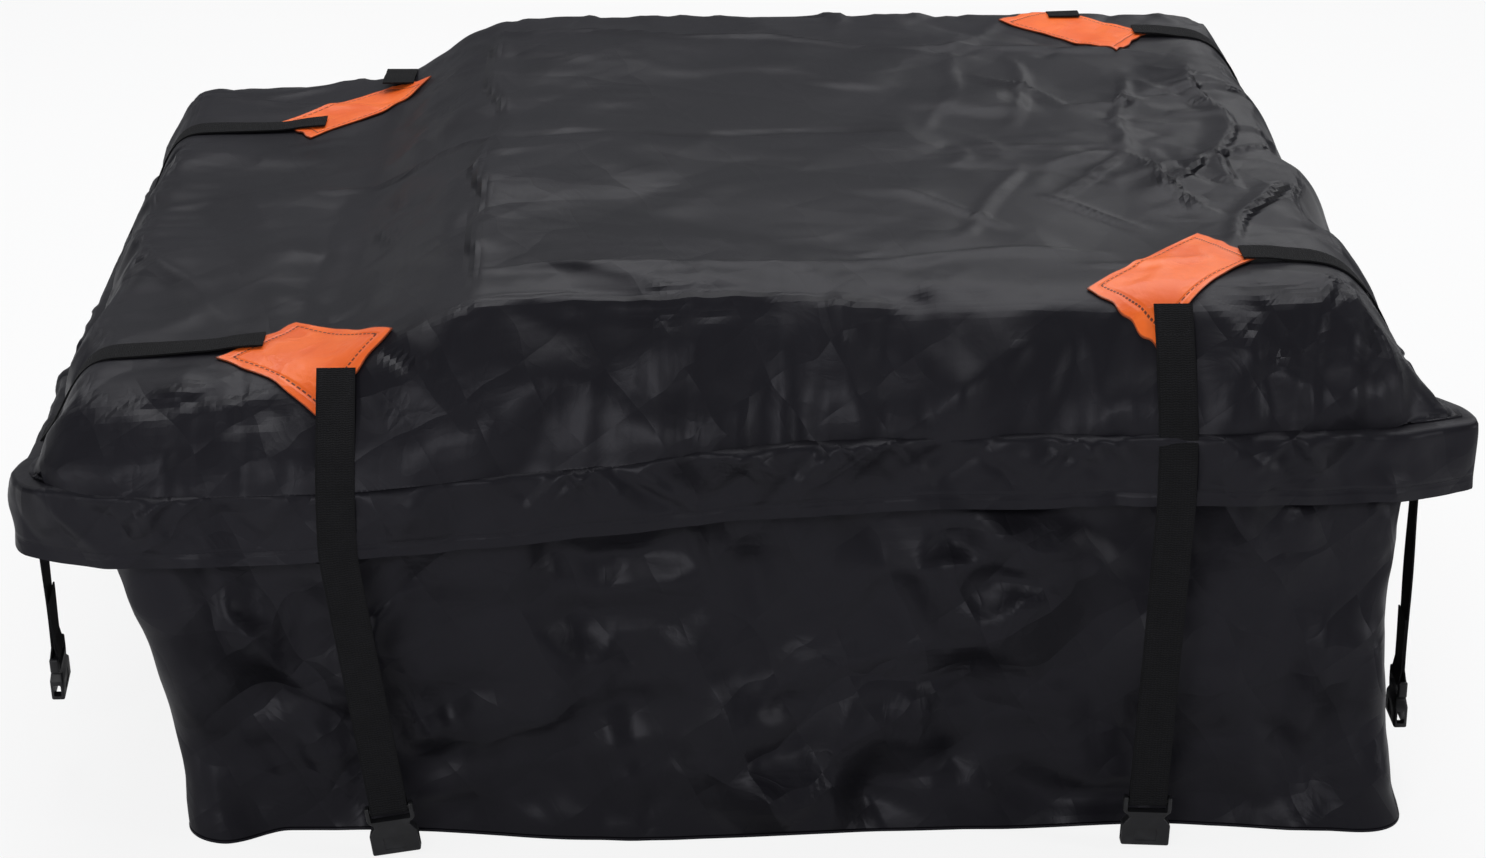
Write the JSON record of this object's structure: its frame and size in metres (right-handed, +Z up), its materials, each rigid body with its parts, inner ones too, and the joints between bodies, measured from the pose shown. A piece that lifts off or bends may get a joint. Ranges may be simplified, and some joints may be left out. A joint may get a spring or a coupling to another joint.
{
  "type": "roof cargo bag",
  "caption": "Soft-sided roof cargo bag, packed and zipped shut, with a storm flap over the zip, bright corner patches and webbing tie-down straps ending in buckles.",
  "frame": {"origin": "middle of the bottom of the whole object's bounding box, on the plane that the bag rests on", "axes": "+X along the bag's length, towards its higher end; +Y across it, away from the camera of the picture; +Z up"},
  "size_m": [1.1382, 0.9454, 0.4673],
  "materials": {
    "cloth": "coated polyester cloth, soft sheen",
    "tape": "woven zip tape",
    "chain": "moulded coil",
    "metal": "black lacquered",
    "webbing": "woven webbing, matte",
    "patch": "PVC-coated cloth, soft gloss",
    "plastic": "moulded, fine satin"
  },
  "bodies": {
    "bag": {"base_panel": "cloth", "tub_wall": "cloth", "lid": "cloth", "storm_flap": "cloth", "zip_tape_upper": "tape", "zip_chain": "chain", "zip_tape_lower": "tape", "patch_front_left": "patch", "patch_front_right": "patch", "patch_rear_left": "patch", "patch_rear_right": "patch", "strap_front_right": "webbing", "strap_front_left": "webbing", "strap_rear_right": "webbing", "strap_rear_left": "webbing", "strap_right_front": "webbing", "strap_right_rear": "webbing", "strap_left_front": "webbing", "strap_left_rear": "webbing"},
    "slider_front": {"zip_slider_front": "metal"},
    "pull_front": {"zip_pull_front": "metal"},
    "slider_rear": {"zip_slider_rear": "metal"},
    "pull_rear": {"zip_pull_rear": "metal"},
    "buckle_front_right": {"buckle_front_right": "plastic"},
    "buckle_front_left": {"buckle_front_left": "plastic"},
    "buckle_rear_right": {"buckle_rear_right": "plastic"},
    "buckle_rear_left": {"buckle_rear_left": "plastic"},
    "buckle_right_front": {"buckle_right_front": "plastic"},
    "buckle_right_rear": {"buckle_right_rear": "plastic"},
    "buckle_left_front": {"buckle_left_front": "plastic"},
    "buckle_left_rear": {"buckle_left_rear": "plastic"}
  },
  "joints": [
    {"name": "zip_slide_front", "type": "slide", "parent": "bag", "child": "slider_front", "axis": [0, -1, 0], "range_m": [0, 0.3]},
    {"name": "pull_tab_front", "type": "hinge", "parent": "slider_front", "child": "pull_front", "pos_m": [-0.55078, -0.01, 0.2915], "axis": [0, 1, 0], "range_deg": [0, 18]},
    {"name": "zip_slide_rear", "type": "slide", "parent": "bag", "child": "slider_rear", "axis": [0, 1, 0], "range_m": [0, 0.3]},
    {"name": "pull_tab_rear", "type": "hinge", "parent": "slider_rear", "child": "pull_rear", "pos_m": [-0.55078, 0.01, 0.2915], "axis": [0, 1, 0], "range_deg": [0, 18]},
    {"name": "buckle_swing_front_right", "type": "hinge", "parent": "bag", "child": "buckle_front_right", "pos_m": [0.31962, -0.4672, 0.042], "axis": [-0.9989, 0, 0.0479], "range_deg": [-24, 85]},
    {"name": "buckle_swing_front_left", "type": "hinge", "parent": "bag", "child": "buckle_front_left", "pos_m": [-0.28038, -0.4672, 0.042], "axis": [-0.9886, 0, -0.1504], "range_deg": [-24, 85]},
    {"name": "buckle_swing_rear_right", "type": "hinge", "parent": "bag", "child": "buckle_rear_right", "pos_m": [0.32362, 0.4672, 0.046], "axis": [0.9995, 0, -0.0325], "range_deg": [-80, 85]},
    {"name": "buckle_swing_rear_left", "type": "hinge", "parent": "bag", "child": "buckle_rear_left", "pos_m": [-0.30438, 0.4672, 0.046], "axis": [0.9992, 0, 0.0387], "range_deg": [-80, 85]},
    {"name": "buckle_swing_right_front", "type": "hinge", "parent": "bag", "child": "buckle_right_front", "pos_m": [0.54548, -0.32199, 0.08], "axis": [0, -0.9996, -0.0283], "range_deg": [-12, 85]},
    {"name": "buckle_swing_right_rear", "type": "hinge", "parent": "bag", "child": "buckle_right_rear", "pos_m": [0.53315, 0.32201, 0.088], "axis": [0, -0.9996, 0.0294], "range_deg": [-36, 85]},
    {"name": "buckle_swing_left_front", "type": "hinge", "parent": "bag", "child": "buckle_left_front", "pos_m": [-0.56358, -0.294, 0.104], "axis": [0, 0.9739, 0.2268], "range_deg": [-85, 85]},
    {"name": "buckle_swing_left_rear", "type": "hinge", "parent": "bag", "child": "buckle_left_rear", "pos_m": [-0.56358, 0.256, 0.098], "axis": [0, 0.9992, -0.0394], "range_deg": [-85, 85]}
  ]
}
